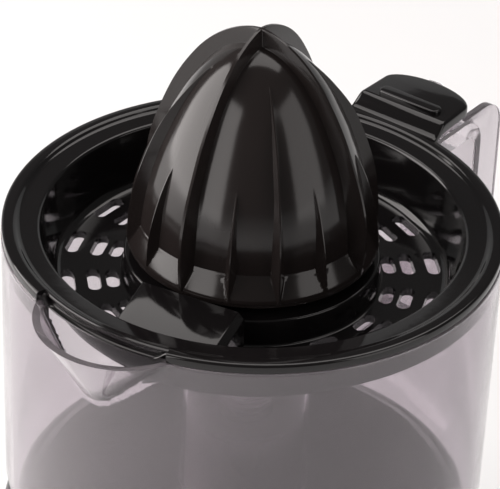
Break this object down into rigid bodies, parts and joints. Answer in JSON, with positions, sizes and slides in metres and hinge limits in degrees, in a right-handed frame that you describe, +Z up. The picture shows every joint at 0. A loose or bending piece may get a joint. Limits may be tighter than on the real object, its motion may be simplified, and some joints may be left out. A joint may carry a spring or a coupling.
{
  "type": "citrus press juicer",
  "caption": "Electric citrus press: ribbed reamer over a slotted strainer, on a clear spouted jug with a handle, driven from a round motor base.",
  "frame": {"origin": "on the spin axis at the underside of the central foot", "axes": "+Z up along the spin axis, -Y towards the pouring spout, +Y towards the jug's handle"},
  "size_m": [0.154, 0.203, 0.2395],
  "materials": {
    "black_housing": "polished black ABS, moulded",
    "black_cover": "fine-textured black ABS",
    "black_strainer": "high-gloss black SAN",
    "black_reamer": "satin-gloss black ABS",
    "clear_jug": "clear violet-tinted SAN",
    "rubber": "soft black rubber",
    "steel": "bright steel",
    "zinc_screw": "zinc-plated steel",
    "lamination": "varnished lamination stack",
    "copper": "enamelled copper winding",
    "bronze": "sintered bronze",
    "white_acetal": "natural acetal",
    "grey_nylon": "glass-filled nylon",
    "switch_red": "red phenolic switch case"
  },
  "bodies": {
    "base": {"base_housing": "black_housing", "bottom_cover": "black_cover", "cord_grommet": "rubber", "spindle_seal": "rubber", "tower_bush": "bronze", "gear_plate": "grey_nylon", "gear_cover": "grey_nylon", "idler_axle": "steel", "stator_core": "lamination", "stator_coil": "copper", "motor_bracket": "steel", "micro_switch": "switch_red", "switch_bracket": "grey_nylon", "foot_0": "rubber", "foot_1": "rubber", "foot_2": "rubber", "foot_3": "rubber", "foot_4": "rubber", "cover_screw_0": "zinc_screw", "cover_screw_1": "zinc_screw", "cover_screw_2": "zinc_screw", "cover_screw_3": "zinc_screw", "plate_screw_0": "zinc_screw", "plate_screw_1": "zinc_screw", "plate_screw_2": "zinc_screw", "plate_screw_3": "zinc_screw", "gear_cover_screw_0": "zinc_screw", "gear_cover_screw_1": "zinc_screw", "gear_cover_screw_2": "zinc_screw", "motor_screw_0": "zinc_screw", "motor_screw_1": "zinc_screw"},
    "thrust_cup": {"thrust_cup": "white_acetal", "return_spring": "steel"},
    "spindle": {"spindle": "steel"},
    "jug_shaft": {"jug_shaft": "steel", "shaft_clip": "steel"},
    "small_reamer": {"small_reamer": "black_reamer"},
    "large_reamer": {"large_reamer": "black_reamer"},
    "jug": {"jug": "clear_jug", "jug_bush": "white_acetal"},
    "strainer": {"strainer": "black_strainer"},
    "output_gear": {"output_gear": "white_acetal"},
    "idler": {"idler_gear": "white_acetal"},
    "rotor": {"rotor_shaft": "steel", "rotor_core": "lamination", "motor_pinion": "bronze"},
    "switch_plunger": {"switch_plunger": "white_acetal"}
  },
  "joints": [
    {"name": "spindle_press", "type": "slide", "parent": "base", "child": "thrust_cup", "axis": [0, 0, 1], "range_m": [-0.0025, 0], "stiffness_N_per_m": 1500, "springref_m": 0.004, "deforming": ["return_spring"]},
    {"name": "spindle_spin", "type": "hinge", "parent": "thrust_cup", "child": "spindle", "pos_m": [0, 0, 0.03], "axis": [0, 0, 1], "continuous": true},
    {"name": "shaft_lift", "type": "slide", "parent": "spindle", "child": "jug_shaft", "axis": [0, 0, 1], "range_m": [0, 0.06]},
    {"name": "reamer_lift", "type": "slide", "parent": "jug_shaft", "child": "small_reamer", "axis": [0, 0, 1], "range_m": [0, 0.06]},
    {"name": "cone_lift", "type": "slide", "parent": "small_reamer", "child": "large_reamer", "axis": [0, 0, 1], "range_m": [0, 0.06]},
    {"name": "jug_lift", "type": "slide", "parent": "base", "child": "jug", "axis": [0, 0, 1], "range_m": [0, 0.06]},
    {"name": "strainer_lift", "type": "slide", "parent": "jug", "child": "strainer", "axis": [0, 0, 1], "range_m": [0, 0.06]},
    {"name": "output_gear_spin", "type": "hinge", "parent": "base", "child": "output_gear", "pos_m": [0, 0, 0.054], "axis": [0, 0, 1], "continuous": true},
    {"name": "idler_spin", "type": "hinge", "parent": "base", "child": "idler", "pos_m": [0.02199, -0.03038, 0.05], "axis": [0, 0, 1], "continuous": true},
    {"name": "rotor_spin", "type": "hinge", "parent": "base", "child": "rotor", "pos_m": [0, -0.04, 0.03], "axis": [0, 0, 1], "continuous": true},
    {"name": "switch_press", "type": "slide", "parent": "base", "child": "switch_plunger", "axis": [0, 0, 1], "range_m": [-0.0025, 0]}
  ],
  "couplings": [
    {"joint": "shaft_lift", "follows": "jug_lift", "ratio": 1},
    {"joint": "reamer_lift", "follows": "strainer_lift", "ratio": 1},
    {"joint": "output_gear_spin", "follows": "spindle_spin", "ratio": 1},
    {"joint": "idler_spin", "follows": "spindle_spin", "ratio": -4},
    {"joint": "rotor_spin", "follows": "spindle_spin", "ratio": 16},
    {"joint": "switch_press", "follows": "spindle_press", "ratio": 1}
  ]
}
